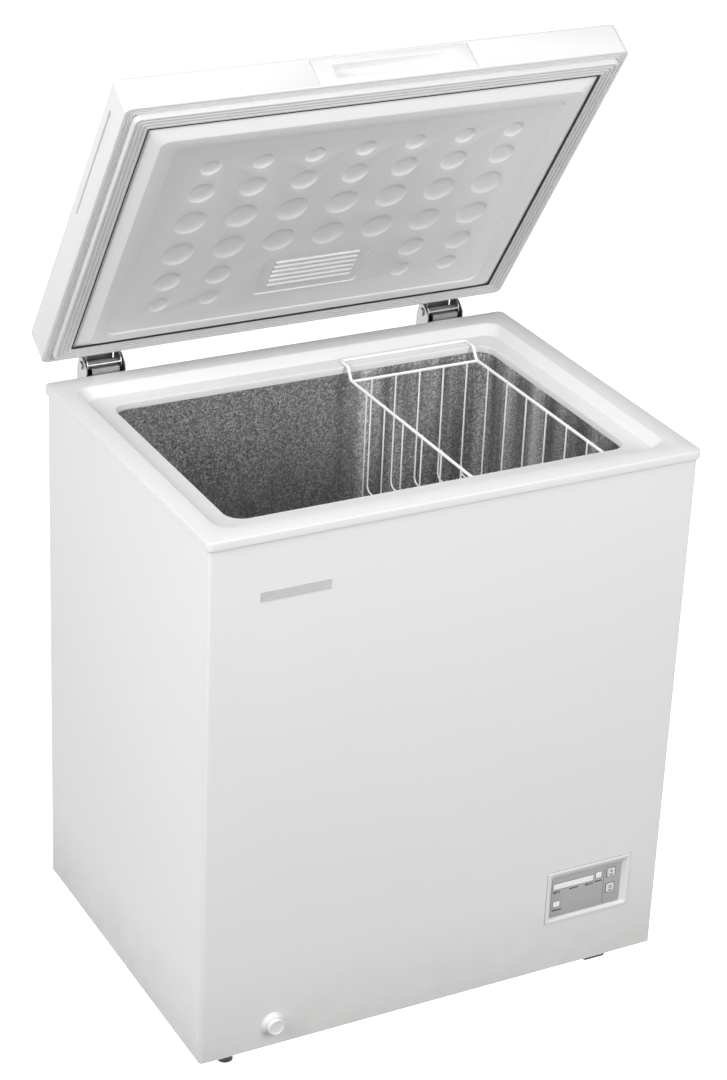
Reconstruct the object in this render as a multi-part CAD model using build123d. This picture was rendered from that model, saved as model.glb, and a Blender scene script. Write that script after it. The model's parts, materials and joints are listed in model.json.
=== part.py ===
"""Chest freezer with an open lid. Millimetres, +Z up, +X to the right, -Y to the front.

The origin is on the floor under the middle of the cabinet. The lid is drawn shut and then
turned to its rest angle about the hinge pins.
"""
import os
from math import cos, radians, sin

from build123d import *

# cabinet
body_w, body_d = 705.0, 521.0          # outer wrapper, left to right and front to back
body_z0, rim_top = 20.0, 791.0         # underside of the wrapper, seat of the gasket
sheet = 0.8
front_y, back_y = -body_d / 2, body_d / 2
side_x = body_w / 2

# moulded rim
rim_over = 4.0                         # overhang past the wrapper
skirt = 12.0
seat_x, seat_y = 326.0, 231.0          # inner edge of the flat seat (half sizes)
ledge_x, ledge_y = 316.0, 219.0        # foot of the slope
ledge_z = rim_top - 13.7
mouth_x, mouth_y, mouth_r = 290.0, 191.0, 25.0
lip_z = ledge_z - 10.5                 # lower edge of the white lip

# liner
liner_floor = 80.0
liner_t = 1.0
step_x, step_z = 140.0, 280.0          # step over the machine space

# machine space behind the step
bay_x0, bay_y0, bay_z1 = 165.0, -120.0, 240.0

# lid, drawn shut
lid_w, lid_y0, lid_y1 = 713.0, -263.5, 264.0
lid_z0, lid_z1 = 799.0, 847.5
lid_open = 56.9
gasket_out, gasket_in, gasket_z = 344.0, 322.5, 791.4
gasket_edge = 12.5                     # from the front or back of the lid to the gasket
gasket_w = 22.0
plateau_z = 783.2                      # lowest face of the raised lid panel
plateau_x, plateau_inset = 302.5, 52.5
recess_x = 282.0
recess_d0, recess_d1 = 68.0, 456.5     # from the rear edge of the lid
recess_h = 1.5
panel_t = 2.2

# dimples of the lid panel: distance from the rear edge, diameter, columns that have one
dimple_pitch = 73.0
dimple_rows = [
    (409.5, 29.0, (-3, -2, -1, 0, 1, 2, 3)),
    (358.5, 38.0, (-3, -2, -1, 0, 1, 2, 3)),
    (298.0, 46.0, (-3, -2, -1, 0, 1, 2, 3)),
    (232.0, 46.0, (-3, -2, -1, 0, 1, 2, 3)),
    (171.5, 39.0, (-3, -2, 2, 3)),
    (120.5, 29.0, (-3, -2, 2, 3)),
]
dimple_h = 1.1

# hinges
pin_y, pin_z, pin_d = 284.6, 799.3, 8.0
hinge_x = 264.0
cheek_x, cheek_t = 27.5, 1.5           # inner face of a cheek, thickness
web_y = 298.5
arm_x, nose_r = 24.0, 13.1
cam_r, cam_angle, roller_d = 10.5, 47.0, 5.0
plunger_top = 798.6
leaf_screw_z = (812.0, 834.0)
spring_seat = 684.0
spring_y, spring_r, spring_wire, spring_turns = 274.0, 4.7, 1.8, 14

# basket
basket_x0, basket_x1, basket_y = 65.0, 265.0, 170.0
basket_z, basket_floor = 763.0, 590.0
hook_y, hook_z = 207.0, ledge_z + 2.75
basket_xc = (basket_x0 + basket_x1) / 2
frame_r, wire_r = 2.25, 1.25
rail_x, rail_y = 262.0, -168.2         # half length and inner edge of the front rail

# control panel
panel_x0, panel_x1, panel_z0, panel_z1 = 172.0, 306.0, 97.0, 180.0
fascia_y = front_y + 5.0
fascia_x0, fascia_x1, fascia_z0, fascia_z1 = 183.0, 296.0, 101.5, 165.5
button_x, button_size = 279.0, (12.2, 13.2)
button_z = {"set_button": 153.0, "power_button": 127.5}
windows = {
    "scale_window": (185.0, 250.5, 146.5, 156.0),
    "super_window": (254.0, 263.5, 148.5, 158.0),
    "running_window": (186.5, 197.5, 118.0, 127.0),
}

# drain
drain_x, drain_z = -246.0, 56.0
drain_hole_y = -150.0
bore_d = 14.4

os.makedirs("parts", exist_ok=True)


def save(name, shape):
    """Write one sub-part."""
    export_step(shape, f"parts/{name}.step")


def block(x0, x1, y0, y1, z0, z1):
    """A box between two corners."""
    centre = ((x0 + x1) / 2, (y0 + y1) / 2, (z0 + z1) / 2)
    return Pos(*centre) * Box(x1 - x0, y1 - y0, z1 - z0)


def slab(hx, hy, z0, z1, r, y=0.0):
    """A box with rounded upright edges, centred on x = 0, from half sizes."""
    return Pos(0, y, z0) * extrude(RectangleRounded(2 * hx, 2 * hy, r), z1 - z0)


def funnel(hx0, hy0, r0, z0, hx1, hy1, r1, z1, y=0.0):
    """A loft between two rounded rectangles at two heights."""
    low = Pos(0, y, z0) * RectangleRounded(2 * hx0, 2 * hy0, r0)
    high = Pos(0, y, z1) * RectangleRounded(2 * hx1, 2 * hy1, r1)
    return loft([low.face(), high.face()])


def rod(start, end, radius):
    """A round bar between two points."""
    a, b = Vector(*start), Vector(*end)
    return Plane(origin=(a + b) / 2, z_dir=b - a) * Cylinder(radius, (b - a).length)


def wire(points, radii, radius):
    """A bent round wire along straight runs joined by arcs."""
    path = FilletPolyline(*points, radius=radii)
    start = Plane(origin=path @ 0, z_dir=path % 0)
    return sweep(start * Circle(radius), path=path)


def yz_plate(points, x0, x1):
    """A flat plate with a (y, z) outline, thick from x0 to x1."""
    outline = Plane.YZ * make_face(Polyline(*points, close=True))
    return Pos(x0, 0, 0) * extrude(outline, x1 - x0, dir=(1, 0, 0))


def y_cylinder(x, z, radius, y0, y1):
    """A cylinder along Y."""
    return rod((x, y0, z), (x, y1, z), radius)


def turned(shape):
    """A lid piece moved from shut to the rest angle."""
    return shape.rotate(Axis((0, pin_y, pin_z), (-1, 0, 0)), lid_open)


# ---------------------------------------------------------------- cabinet


def outer_wrapper():
    """Front and sides folded from one sheet, with the panel and drain openings."""
    r = 5.0
    outer = slab(side_x, body_d / 2, body_z0, rim_top - 5, r)
    inner = slab(side_x - sheet, body_d / 2 - sheet, body_z0 - 1, rim_top, r - sheet)
    shell = outer - inner
    shell -= block(-side_x - 1, side_x + 1, back_y - r - 1, back_y + 1, 0, rim_top)
    shell -= block(panel_x0 + 3, panel_x1 - 3, front_y - 1, front_y + 2, panel_z0 + 3, panel_z1 - 3)
    shell -= y_cylinder(drain_x, drain_z, 10.2, front_y - 1, front_y + 3)
    return shell


def back_panel():
    """Back sheet with side flanges and the opening of the machine space."""
    y0 = back_y - 6
    sheet_part = block(-side_x, side_x, back_y - sheet, back_y, body_z0, rim_top - 5)
    for sx in (-1, 1):
        x0, x1 = sorted((sx * side_x, sx * (side_x - sheet)))
        sheet_part += block(x0, x1, y0 + 0.1, back_y, body_z0, rim_top - 5)
    sheet_part -= block(bay_x0 + 10, side_x - 15, y0, back_y + 1, 36, bay_z1 - 20)
    for sx in (-1, 1):
        for dx in (-37, 37):
            for z in (662.0, 758.0):
                sheet_part -= y_cylinder(sx * hinge_x + dx, z, 2.1, y0, back_y + 1)
    sheet_part -= y_cylinder(120.0, 120.0, 8.0, y0, back_y + 1)
    return sheet_part & slab(side_x, body_d / 2, 0, rim_top, 5)


def base_pan():
    """Bottom sheet with turned-up edges and the holes for the feet."""
    hx, hy = side_x - sheet - 0.1, body_d / 2 - sheet - 0.1
    tray = slab(hx, hy, body_z0, body_z0 + 12, 4) - slab(hx - 1, hy - 1, body_z0 + 1, body_z0 + 20, 3)
    tray -= Pos(-304, -236, body_z0) * Cylinder(4.2, 10)
    return tray


def step_box(inset, z_low):
    """The block under the liner's step, shrunk by the sheet thickness."""
    return block(step_x - inset, mouth_x + 30, -mouth_y - 30, mouth_y + 30, z_low, step_z + inset)


def inner_liner():
    """Aluminium tub, open at the top, with a step at the right."""
    inside = slab(mouth_x, mouth_y, liner_floor, lip_z, mouth_r) - step_box(0, 0)
    outside = slab(mouth_x + liner_t, mouth_y + liner_t, liner_floor - liner_t, lip_z, mouth_r + liner_t)
    outside -= step_box(-liner_t, 0)
    tub = outside - inside
    tub -= Pos(drain_x, drain_hole_y, liner_floor) * Cylinder(8.0, 10)
    return tub


def liner_seam():
    """Lock seam down the liner's rear wall."""
    return block(76.0, 80.0, mouth_y - 1.3, mouth_y - 0.05, liner_floor + 205, lip_z - 2)


def coil_levels():
    """Heights of the evaporator's turns."""
    return [330.0 + 75.0 * i for i in range(6)]


def coil_ring(z, grow, radius):
    """One rectangular turn of tube round the liner."""
    hx, hy = mouth_x + grow, mouth_y + grow
    path = Pos(0, 0, z) * RectangleRounded(2 * hx, 2 * hy, mouth_r + grow)
    edges = path.face().outer_wire()
    start = Plane(origin=edges @ 0, z_dir=edges % 0)
    return sweep(start * Circle(radius), path=edges)


def evaporator_coil():
    """Turns of tube on the liner, joined by short risers at the rear."""
    grow = liner_t + 3.7
    coil = coil_ring(coil_levels()[0], grow, 3.5)
    for low, high in zip(coil_levels(), coil_levels()[1:]):
        coil += coil_ring(high, grow, 3.5)
        coil += rod((-120, mouth_y + grow, low), (-120, mouth_y + grow, high), 3.5)
    return coil


def condenser_coil():
    """Serpentine tube behind the left side of the wrapper."""
    x = -side_x + sheet + 3.0
    points = []
    for i in range(6):
        z = 140.0 + 100.0 * i
        ends = (-200.0, 200.0) if i % 2 == 0 else (200.0, -200.0)
        points += [(x, ends[0], z), (x, ends[1], z)]
    return wire(points, [40.0] * (len(points) - 2), 2.5)


def cabinet_foam():
    """Insulation between the liner and the sheets, with every pocket cut out."""
    gap = 0.3
    hx, hy = side_x - sheet - gap, body_d / 2 - sheet - gap
    foam = slab(hx, hy, body_z0 + 1.2, rim_top - 14.0, 4)
    foam -= slab(side_x, back_y, 0, body_z0 + 13, 4) - slab(hx - 1.3, hy - 1.3, 0, body_z0 + 14, 3)
    tub = slab(mouth_x + 1.3, mouth_y + 1.3, liner_floor - 1.3, rim_top, mouth_r + 1.3)
    foam -= tub - step_box(-1.3, 0)
    for z in coil_levels():
        channel = slab(mouth_x + 9, mouth_y + 9, z - 4, z + 4, mouth_r + 9)
        foam -= channel - slab(mouth_x, mouth_y, z - 5, z + 5, mouth_r)
    foam -= block(-125, -115, mouth_y, mouth_y + 9, coil_levels()[0], coil_levels()[-1])
    foam -= block(-side_x, -side_x + 8, -246, 246, 130, 650)
    foam -= block(bay_x0 - 1.2, side_x, bay_y0 - 1.2, back_y, 0, bay_z1 + 1.2)
    foam -= block(panel_x0 - 4, panel_x1 + 4, front_y, front_y + 32, panel_z0 - 4, panel_z1 + 4)
    foam -= block(drain_x - 14, drain_x + 14, front_y, drain_hole_y + 14, drain_z - 14, liner_floor)
    foam -= Pos(-304, -236, 0) * Cylinder(7, 120)
    foam -= slab(ledge_x + 6, ledge_y + 6, ledge_z - 2.9, rim_top, 22)
    foam -= slab(mouth_x + 2.9, mouth_y + 2.9, lip_z - 0.4, rim_top, mouth_r + 2.9)
    for sx in (-1, 1):
        for dx in (-37, 37):
            for z in (662.0, 758.0):
                foam -= y_cylinder(sx * hinge_x + dx, z, 2.6, back_y - 22, back_y)
    foam -= y_cylinder(120.0, 120.0, 9.0, back_y - 20, back_y)
    return foam


def top_rim():
    """Collar: skirt, flat seat, slope, ledge and lip in one moulding."""
    t = 2.5
    hx, hy = side_x + rim_over, body_d / 2 + rim_over
    rim = slab(hx, hy, rim_top - skirt, rim_top, 9)
    rim -= slab(side_x + 0.3, body_d / 2 + 0.3, rim_top - skirt - 1, rim_top - 4.8, 5)
    rim += funnel(ledge_x + t, ledge_y + t, 20, ledge_z - t, seat_x + t, seat_y + t, 24, rim_top - 1)
    rim += slab(mouth_x + t, mouth_y + t, lip_z, ledge_z, mouth_r + t)
    rim -= funnel(ledge_x, ledge_y, 18, ledge_z, seat_x, seat_y, 22, rim_top)
    rim -= slab(mouth_x, mouth_y, lip_z - 1, rim_top, mouth_r)
    return rim


def machine_cover():
    """Sheet walls and roof of the machine space."""
    t = 1.0
    x1, y1 = side_x - 2.0, back_y - 2.0
    outer = block(bay_x0 - t, x1, bay_y0 - t, y1, body_z0 + 1.4, bay_z1 + t)
    inner = block(bay_x0, x1 + 1, bay_y0, y1 + 1, body_z0, bay_z1)
    return outer - inner - block(310, 330, 100, 140, bay_z1 - 1, bay_z1 + 3)


def compressor():
    """Welded shell on a foot plate, with its terminal boss."""
    base = block(195, 335, 10, 170, 36, 38.5)
    lower = Pos(262, 90, 38.5) * extrude(Ellipse(62, 70), 75)
    top = Pos(262, 90, 113.5) * extrude(Ellipse(64, 72), 55, taper=12)
    can = base + lower + top
    can += rod((205, 90, 100), (190, 90, 100), 16)
    return can


def compressor_grommets():
    """Four rubber mounts under the foot plate."""
    feet = []
    for x in (203, 327):
        for y in (18, 162):
            feet.append(Pos(x, y, (body_z0 + 1.3 + 35.8) / 2) * Cylinder(7, 35.8 - body_z0 - 1.3))
    return Compound(children=feet)


def relay_cover():
    """Plastic box over the start relay."""
    return block(170, 189.5, 68, 112, 78, 126)


def filter_drier():
    """Copper canister beside the compressor."""
    body = rod((200, 205, 90), (200, 205, 170), 9)
    ends = rod((200, 205, 78), (200, 205, 182), 4)
    return body + ends


def discharge_pipe():
    """Tube from the compressor to the drier."""
    path = [(262, 163, 70), (262, 205, 70), (200, 205, 70), (200, 205, 77.5)]
    return wire(path, [12, 6], 2.5)


def suction_pipe():
    """Tube from the compressor up to the roof of the machine space."""
    path = [(320, 120, 237), (320, 120, 150), (320, 190, 150), (290, 190, 60), (290, 155, 60)]
    return wire(path, [20, 15, 12], 3.5)


def rear_grille():
    """Slotted sheet screwed over the machine space."""
    x0, x1 = bay_x0 + 3, side_x - 8
    grille = block(x0, x1, back_y + 0.1, back_y + 1.1, 29, bay_z1 - 12)
    for i in range(11):
        z = 52.0 + 15.0 * i
        grille -= block(x0 + 22, (x0 + x1) / 2 - 6, back_y - 1, back_y + 3, z, z + 6)
        grille -= block((x0 + x1) / 2 + 6, x1 - 22, back_y - 1, back_y + 3, z, z + 6)
    return grille


def cord_inlet():
    """Moulded gland in the back panel."""
    flange = y_cylinder(120, 120, 12, back_y + 0.1, back_y + 4)
    neck = y_cylinder(120, 120, 7.8, back_y - 8, back_y + 14)
    return flange + neck - y_cylinder(120, 120, 3.6, back_y - 9, back_y + 15)


# ---------------------------------------------------------------- front fittings


def control_bezel():
    """Frame proud of the front, with walls that slope in to the fascia."""
    flange = block(panel_x0, panel_x1, front_y - 1.6, front_y - 0.1, panel_z0, panel_z1)
    body = block(panel_x0 + 3.4, panel_x1 - 3.4, front_y - 1, front_y + 9, panel_z0 + 3.4, panel_z1 - 3.4)
    bezel = fillet(flange.edges().filter_by(Axis.Y), 3) + body
    mouth = Plane.XZ.offset(-(front_y - 1.7)) * Pos(239, 138.5) * RectangleRounded(126, 75, 3)
    zc = (fascia_z0 + fascia_z1) / 2
    floor_size = (fascia_x1 - fascia_x0, fascia_z1 - fascia_z0)
    floor = Plane.XZ.offset(-fascia_y) * Pos(239.5, zc) * RectangleRounded(*floor_size, 2)
    bezel -= loft([mouth.face(), floor.face()])
    bezel -= block(fascia_x0 - 0.2, fascia_x1 + 0.2, fascia_y - 0.1, front_y + 12, fascia_z0 - 0.2, fascia_z1 + 0.2)
    return bezel


def button_hole(name, gap, y0, y1):
    """A rounded-square prism where a push button goes."""
    w, h = button_size
    face = Plane.XZ.offset(-y1) * Pos(button_x, button_z[name]) * RectangleRounded(w + gap, h + gap, 2)
    return extrude(face, y1 - y0)


def control_fascia():
    """Flat printed plate with its windows, button holes and divider groove."""
    plate = block(fascia_x0, fascia_x1, fascia_y, fascia_y + 2.5, fascia_z0, fascia_z1)
    for x0, x1, z0, z1 in windows.values():
        plate -= block(x0 - 0.05, x1 + 0.05, fascia_y - 1, fascia_y + 4, z0 - 0.05, z1 + 0.05)
    for name in button_z:
        plate -= button_hole(name, 0.8, fascia_y - 1, fascia_y + 4)
    plate -= block(267.5, 268.3, fascia_y - 1, fascia_y + 0.4, fascia_z0 + 4, fascia_z1 - 4)
    return plate


def window(name):
    """A clear insert flush with the fascia."""
    x0, x1, z0, z1 = windows[name]
    return block(x0, x1, fascia_y - 0.2, fascia_y + 2, z0, z1)


def push_button(name):
    """Cap and stem of a push button."""
    cap = button_hole(name, 0.0, fascia_y - 1.4, fascia_y + 3)
    stem = y_cylinder(button_x, button_z[name], 3, fascia_y + 3, fascia_y + 4.6)
    return cap + stem


def control_board():
    """Circuit board behind the fascia."""
    return block(fascia_x0 + 2, fascia_x1 - 2, fascia_y + 7, fascia_y + 8.6, fascia_z0 + 2, fascia_z1 - 2)


def drain_spout():
    """Flanged outlet in the front of the cabinet."""
    flange = Plane.XZ.offset(-(front_y - 0.1)) * Pos(drain_x, drain_z) * extrude(Circle(17), 3.2, taper=20)
    neck = y_cylinder(drain_x, drain_z, 10, front_y - 0.2, front_y + 20)
    return flange + neck - y_cylinder(drain_x, drain_z, bore_d / 2, front_y - 9, front_y + 30)


def drain_cap():
    """Cap with a stub that plugs the spout."""
    y1 = front_y - 3.7
    cap = y_cylinder(drain_x, drain_z, 12.5, y1 - 9, y1)
    cap = fillet(cap.edges().filter_by(GeomType.CIRCLE).sort_by(Axis.Y)[0], 2.5)
    return cap + y_cylinder(drain_x, drain_z, bore_d / 2 - 0.4, y1 - 0.1, y1 + 14)


def drain_tube():
    """Hose from the liner's floor to the spout."""
    path = [(drain_x, front_y + 20.3, drain_z), (drain_x, drain_hole_y, drain_z), (drain_x, drain_hole_y, liner_floor - 1.3)]
    return wire(path, [15], 9) - wire(path, [15], bore_d / 2)


def floor_plug():
    """Stopper in the liner's floor."""
    head = Pos(drain_x, drain_hole_y, liner_floor + 2.35) * Cylinder(12, 4)
    knob = Pos(drain_x, drain_hole_y, liner_floor + 8.35) * Cylinder(4, 9)
    stem = Pos(drain_x, drain_hole_y, liner_floor - 0.5) * Cylinder(bore_d / 2 - 0.5, 4)
    return head + knob + stem


def wide_foot(x, y):
    """Moulded foot, wider at the top."""
    top = Pos(x, y, body_z0 - 0.1) * Rectangle(43, 40)
    low = Pos(x, y, 0) * Rectangle(34, 32)
    return loft([low.face(), top.face()])


def levelling_foot():
    """Round pad on a threaded stem."""
    pad = Pos(-304, -236, 0) * extrude(Circle(11), 9, taper=8)
    return pad + Pos(-304, -236, 9) * extrude(Circle(3.9), 30)


def badge_plate():
    """Blank bright strip high on the front."""
    return block(-281, -184, front_y - 1.0, front_y - 0.1, 696, 709)


# ---------------------------------------------------------------- hinges


def hinge_base(cx):
    """Hat-shaped channel screwed to the cabinet's back, open at the front."""
    lo, cut_z = 640.0, rim_top - skirt - 3
    outline = [
        (back_y + 0.2, lo), (web_y + 1.5, lo), (web_y + 1.5, 791), (pin_y + 9, 808),
        (pin_y + 4, 811.3), (pin_y - 4, 811.3), (pin_y - 9, 808), (266.4, 799),
        (266.4, cut_z + 3), (back_y + 0.2, cut_z),
    ]
    base = block(cx - cheek_x, cx + cheek_x, web_y, web_y + 1.5, lo, 785)
    base += block(cx - 23, cx + 23, web_y, web_y + 1.5, 784, 810)
    for sx in (-1, 1):
        x0, x1 = sorted((cx + sx * cheek_x, cx + sx * (cheek_x + cheek_t)))
        base += yz_plate(outline, x0, x1)
        f0, f1 = sorted((cx + sx * cheek_x, cx + sx * (cheek_x + 18)))
        flange = block(f0, f1, back_y + 0.2, back_y + 1.7, lo, cut_z)
        for z in (662.0, 758.0):
            flange -= y_cylinder(cx + sx * 37, z, 2.2, back_y - 1, back_y + 4)
        base += flange
    base += block(cx - cheek_x, cx + cheek_x, back_y + 1.7, web_y, spring_seat - 1.5, spring_seat)
    base -= rod((cx - 40, pin_y, pin_z), (cx + 40, pin_y, pin_z), pin_d / 2 + 0.02)
    return base


def hinge_pin(cx):
    """Pin with two heads, through both cheeks."""
    out = cheek_x + cheek_t + 0.1
    pin = rod((cx - out - 2, pin_y, pin_z), (cx + out + 2, pin_y, pin_z), pin_d / 2)
    pin += rod((cx - out - 2, pin_y, pin_z), (cx - out, pin_y, pin_z), pin_d / 2 + 2)
    pin += rod((cx + out, pin_y, pin_z), (cx + out + 2, pin_y, pin_z), pin_d / 2 + 2)
    return pin


def hinge_screws(cx):
    """Four pan-head screws through the flanges."""
    screws = []
    for dx in (-37, 37):
        for z in (662.0, 758.0):
            head = y_cylinder(cx + dx, z, 4.2, back_y + 1.8, back_y + 4.2)
            shank = y_cylinder(cx + dx, z, 2.0, back_y - 18, back_y + 1.9)
            slot = block(cx + dx - 3, cx + dx + 3, back_y + 3.2, back_y + 5, z - 0.5, z + 0.5)
            screws.append(head + shank - slot)
    return Compound(children=screws)


def hinge_leaf(cx):
    """Plate on the lid's rear face with two arms down to the pin (lid shut)."""
    y0, y1 = lid_y1 + 0.2, lid_y1 + 1.7
    leaf = block(cx - arm_x - 1.5, cx + arm_x + 1.5, y0, y1, 803, 843)
    arm = [(y0, 803), (y0, 838), (y0 + 5, 838), (pin_y + 4, 808), (pin_y, 803), (pin_y - 8, 797)]
    for sx in (-1, 1):
        x0, x1 = sorted((cx + sx * arm_x, cx + sx * (arm_x + 1.5)))
        leaf += yz_plate(arm, x0, x1)
        leaf += rod((x0, pin_y, pin_z), (x1, pin_y, pin_z), nose_r)
    leaf -= rod((cx - 40, pin_y, pin_z), (cx + 40, pin_y, pin_z), pin_d / 2 + 0.06)
    for z in leaf_screw_z:
        leaf -= y_cylinder(cx, z, 2.2, y0 - 1, y1 + 1)
    return leaf


def cam_roller(cx):
    """Cross pin of the arms that rides on the plunger (lid shut)."""
    y = pin_y - cam_r * sin(radians(cam_angle))
    z = pin_z - cam_r * cos(radians(cam_angle))
    return rod((cx - arm_x + 0.05, y, z), (cx + arm_x - 0.05, y, z), roller_d / 2)


def leaf_screws(cx):
    """Two screws through the leaf into the lid."""
    screws = []
    for z in leaf_screw_z:
        head = y_cylinder(cx, z, 4.2, lid_y1 + 1.8, lid_y1 + 4.0)
        shank = y_cylinder(cx, z, 2.0, lid_y1 - 16, lid_y1 + 1.9)
        screws.append(head + shank)
    return Compound(children=screws)


def plunger(cx):
    """Flat-topped follower on the spring, under the cam roller."""
    head = block(cx - 20, cx + 20, 266.9, 279.7, plunger_top - 3, plunger_top)
    skirt_part = block(cx - 20, cx + 20, 266.9, 268.0, plunger_top - 26, plunger_top)
    guide = Pos(cx, spring_y, plunger_top - 16) * Cylinder(3.2, 28)
    return head + skirt_part + guide


def hinge_spring(cx):
    """Compression spring between its seat and the plunger."""
    low = spring_seat + 0.15 + spring_wire / 2
    height = plunger_top - 3 - 0.3 - spring_wire / 2 - low
    path = Helix(pitch=height / spring_turns, height=height, radius=spring_r)
    start = Plane(origin=path @ 0, z_dir=path % 0)
    coil = sweep(start * Circle(spring_wire / 2), path=path, is_frenet=True)
    return Pos(cx, spring_y, low) * coil


# ---------------------------------------------------------------- lid (drawn shut)


def lid_y(distance):
    """The y of a line on the lid, from its distance to the rear edge."""
    return lid_y1 - distance


lid_yc, lid_hx, lid_hy = (lid_y0 + lid_y1) / 2, lid_w / 2, (lid_y1 - lid_y0) / 2
handle_x, handle_w, handle_h = 18.0, 226.0, 41.0
grip_w, grip_h, grip_deep = 168.0, 20.0, 14.0


def handle_box(grow, depth):
    """The block that the front handle takes out of the lid."""
    hx = handle_w / 2 + grow
    return block(handle_x - hx, handle_x + hx, lid_y0 - 1, lid_y0 + depth, lid_z0 + 2.5 - grow, lid_z0 + 2.5 + handle_h + grow)


def side_grip(sx):
    """Shallow wedge pressed into a side of the lid."""
    outline = [(lid_z0 + 34, 0), (lid_z0 + 34, 2.6), (lid_z0 + 12, -0.2)]
    x = sx * (lid_hx + 0.1)
    points = [(x - sx * max(d, -1), lid_y(283), z) for z, d in outline]
    face = make_face(Polyline(*points, close=True))
    return extrude(face, 204, dir=(0, -1, 0))


def lid_shell():
    """Painted pan: top and four sides."""
    outer = slab(lid_hx, lid_hy, lid_z0 + 0.8, lid_z1, 9, lid_yc)
    outer = fillet(outer.edges().group_by(Axis.Z)[-1], 2.5)
    inner = slab(lid_hx - 4.0, lid_hy - 4.0, lid_z0, lid_z1 - 3.0, 6, lid_yc)
    shell = outer - inner
    for sx in (-1, 1):
        shell -= side_grip(sx)
        for z in leaf_screw_z:
            shell -= y_cylinder(sx * hinge_x, z, 2.2, lid_y1 - 6, lid_y1 + 1)
    return shell - handle_box(0.1, 6)


def lid_foam():
    """Insulation inside the lid."""
    foam = slab(lid_hx - 4.3, lid_hy - 4.3, lid_z0 + 7.2, lid_z1 - 3.3, 6, lid_yc)
    foam += slab(gasket_in - 26, lid_hy - 64, plateau_z + 5.5, lid_z0 + 8, 10, lid_yc)
    foam -= handle_box(1.0, 20)
    for sx in (-1, 1):
        for z in leaf_screw_z:
            foam -= y_cylinder(sx * hinge_x, z, 2.4, lid_y1 - 18, lid_y1)
    return foam


def lid_panel():
    """Formed inner panel: raised plateau, recessed field, dimples and ribbed field."""
    flange_hy = lid_hy - gasket_edge - gasket_w - 0.6
    field_yc = (lid_y(recess_d0) + lid_y(recess_d1)) / 2
    field_hy = (recess_d1 - recess_d0) / 2
    top = lid_z0 + 6.8
    plateau_hy = lid_hy - plateau_inset
    panel = slab(gasket_in - 0.6, flange_hy, lid_z0 - 3.5, top, 6, lid_yc)
    panel += funnel(plateau_x, plateau_hy, 12, plateau_z, gasket_in - 0.6, flange_hy, 6, lid_z0 - 3.5, lid_yc)
    panel -= slab(recess_x, field_hy, plateau_z - 1, plateau_z + recess_h, 10, field_yc)
    panel -= slab(gasket_in - 24, lid_hy - 62, plateau_z + recess_h + panel_t + 1.2, top + 1, 12, lid_yc)
    face_z = plateau_z + recess_h
    for distance, diameter, columns in dimple_rows:
        ball = (diameter ** 2 / 4 + dimple_h ** 2) / (2 * dimple_h)
        for column in columns:
            panel -= Pos(column * dimple_pitch, lid_y(distance), face_z + dimple_h - ball) * Sphere(ball)
    grid_yc = lid_y(149.0)
    panel -= Pos(0, grid_yc, face_z - 1) * extrude(RectangleRounded(158, 77, 9), 2.2)
    for i in range(6):
        panel += Pos(2, lid_y(127.0 + 10.0 * i), face_z + 0.5) * extrude(SlotOverall(126, 4.5), 0.9)
    return panel


def ring(hx, hy, width, z0, z1, r):
    """A rectangular ring under the lid, from its outer half sizes."""
    return slab(hx, hy, z0, z1, r, lid_yc) - slab(hx - width, hy - width, z0 - 1, z1 + 1, max(r - width, 2), lid_yc)


def lid_gasket():
    """Ribbed magnetic seal."""
    hy = lid_hy - gasket_edge
    seal = ring(gasket_out, hy, gasket_w, gasket_z, lid_z0 + 1, 8)
    for inset in (4.0, 9.0, 14.0):
        seal -= ring(gasket_out - inset, hy - inset, 1.6, gasket_z - 1, gasket_z + 1.2, 6)
    return seal


def lid_trim():
    """Plastic edge frame under the lid, with a fine groove."""
    trim = ring(lid_hx - 4.3, lid_hy - 4.3, 40, lid_z0, lid_z0 + 6.6, 6)
    trim += ring(lid_hx - 0.6, lid_hy - 0.6, 11.0, lid_z0, lid_z0 + 0.6, 8)
    trim -= ring(gasket_out + 0.2, lid_hy - gasket_edge + 0.2, gasket_w + 0.5, lid_z0 - 1, lid_z0 + 1.2, 8)
    trim -= ring(lid_hx - 5.5, lid_hy - 5.5, 1.6, lid_z0 - 1, lid_z0 + 1, 6)
    trim -= slab(gasket_in - 24, lid_hy - 62, lid_z0 - 1, lid_z0 + 9, 8, lid_yc)
    return trim - handle_box(0.5, 14) - slab(gasket_in - 0.4, lid_hy - gasket_edge - gasket_w - 0.4, lid_z0 - 1, lid_z0 + 9, 6, lid_yc)


def lid_handle():
    """Front plate with a finger pocket."""
    hx = handle_w / 2
    z0 = lid_z0 + 2.7
    plate = block(handle_x - hx, handle_x + hx, lid_y0 + 0.9, lid_y0 + 3.6, z0, z0 + handle_h - 0.2)
    plate += block(handle_x - grip_w / 2 - 2.5, handle_x + grip_w / 2 + 2.5, lid_y0 + 3, lid_y0 + grip_deep + 2, z0 + 7, z0 + 34)
    pocket_mouth = Plane.XZ.offset(-(lid_y0 + 0.8)) * Pos(handle_x, z0 + 20.5) * RectangleRounded(grip_w, 22, 4)
    pocket_floor = Plane.XZ.offset(-(lid_y0 + grip_deep)) * Pos(handle_x, z0 + 22) * RectangleRounded(grip_w - 8, 17, 3)
    return plate - loft([pocket_mouth.face(), pocket_floor.face()])


# ---------------------------------------------------------------- basket


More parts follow.
